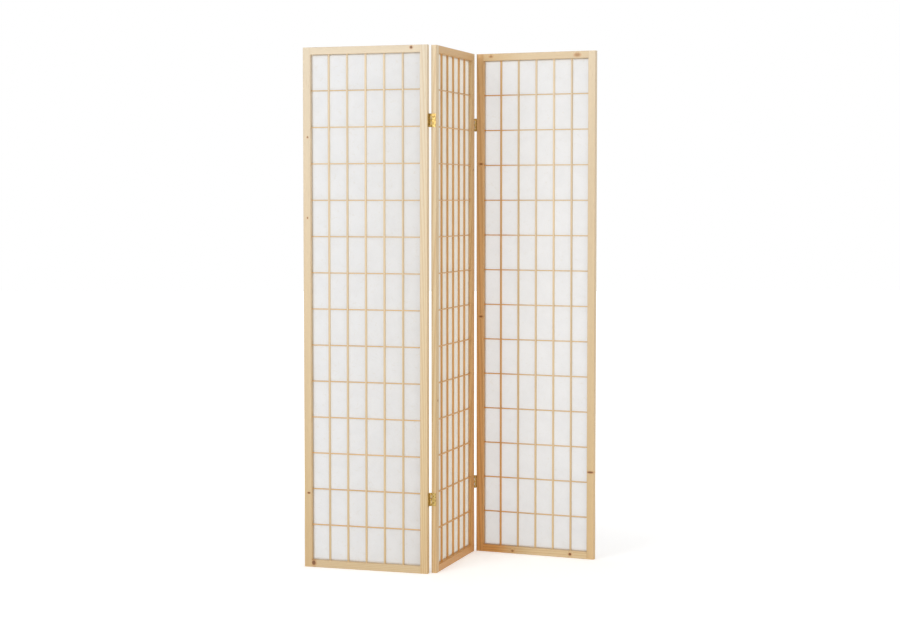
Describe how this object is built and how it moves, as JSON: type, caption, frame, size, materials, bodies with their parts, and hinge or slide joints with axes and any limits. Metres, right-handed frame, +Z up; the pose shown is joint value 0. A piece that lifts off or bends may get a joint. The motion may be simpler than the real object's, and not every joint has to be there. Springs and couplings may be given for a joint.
{
  "type": "shoji folding screen",
  "caption": "Folding room screen of pine frames with a square-barred lattice backed by translucent paper, hinged edge to edge with brass butt hinges so that it stands in a zigzag.",
  "frame": {"origin": "centre of the footprint of the standing, half-open screen, on the floor", "axes": "+X to the right along the screen, +Y away from the viewer (the lattice faces -Y), +Z up"},
  "size_m": [0.9961, 0.4537, 1.75],
  "materials": {
    "frame": "planed and sanded pine, clear matt lacquer",
    "lattice": "sanded pine strips, clear matt lacquer",
    "beads": "sanded pine strips, clear matt lacquer",
    "dowels": "turned beech",
    "paper": "translucent fibre paper",
    "hinge_leaves": "pressed and rolled, lightly tarnished",
    "hinge_pins": "drawn, satin",
    "screws": "turned, satin",
    "brads": "drawn steel wire"
  },
  "bodies": {
    "middle_panel": {"left_lower_hinge_middle_leaf": "hinge_leaves", "left_lower_hinge_middle_screws": "screws", "left_lower_hinge_pin": "hinge_pins", "left_upper_hinge_middle_leaf": "hinge_leaves", "left_upper_hinge_middle_screws": "screws", "left_upper_hinge_pin": "hinge_pins", "middle_panel_bottom_bead": "beads", "middle_panel_bottom_rail": "frame", "middle_panel_brads": "brads", "middle_panel_dowels": "dowels", "middle_panel_lattice_cross_bars": "lattice", "middle_panel_lattice_uprights": "lattice", "middle_panel_left_bead": "beads", "middle_panel_left_stile": "frame", "middle_panel_paper": "paper", "middle_panel_right_bead": "beads", "middle_panel_right_stile": "frame", "middle_panel_top_bead": "beads", "middle_panel_top_rail": "frame", "right_lower_hinge_middle_leaf": "hinge_leaves", "right_lower_hinge_middle_screws": "screws", "right_lower_hinge_pin": "hinge_pins", "right_upper_hinge_middle_leaf": "hinge_leaves", "right_upper_hinge_middle_screws": "screws", "right_upper_hinge_pin": "hinge_pins"},
    "left_panel": {"left_lower_hinge_outer_leaf": "hinge_leaves", "left_lower_hinge_outer_screws": "screws", "left_panel_bottom_bead": "beads", "left_panel_bottom_rail": "frame", "left_panel_brads": "brads", "left_panel_dowels": "dowels", "left_panel_lattice_cross_bars": "lattice", "left_panel_lattice_uprights": "lattice", "left_panel_left_bead": "beads", "left_panel_left_stile": "frame", "left_panel_paper": "paper", "left_panel_right_bead": "beads", "left_panel_right_stile": "frame", "left_panel_top_bead": "beads", "left_panel_top_rail": "frame", "left_upper_hinge_outer_leaf": "hinge_leaves", "left_upper_hinge_outer_screws": "screws"},
    "right_panel": {"right_lower_hinge_outer_leaf": "hinge_leaves", "right_lower_hinge_outer_screws": "screws", "right_panel_bottom_bead": "beads", "right_panel_bottom_rail": "frame", "right_panel_brads": "brads", "right_panel_dowels": "dowels", "right_panel_lattice_cross_bars": "lattice", "right_panel_lattice_uprights": "lattice", "right_panel_left_bead": "beads", "right_panel_left_stile": "frame", "right_panel_paper": "paper", "right_panel_right_bead": "beads", "right_panel_right_stile": "frame", "right_panel_top_bead": "beads", "right_panel_top_rail": "frame", "right_upper_hinge_outer_leaf": "hinge_leaves", "right_upper_hinge_outer_screws": "screws"}
  },
  "joints": [
    {"name": "left_fold", "type": "hinge", "parent": "middle_panel", "child": "left_panel", "pos_m": [-0.07218, -0.20806, 0], "axis": [0, 0, 1], "range_deg": [-89, 91]},
    {"name": "right_fold", "type": "hinge", "parent": "middle_panel", "child": "right_panel", "pos_m": [0.08613, 0.20906, 0], "axis": [0, 0, 1], "range_deg": [-83.4, 96.6]}
  ]
}
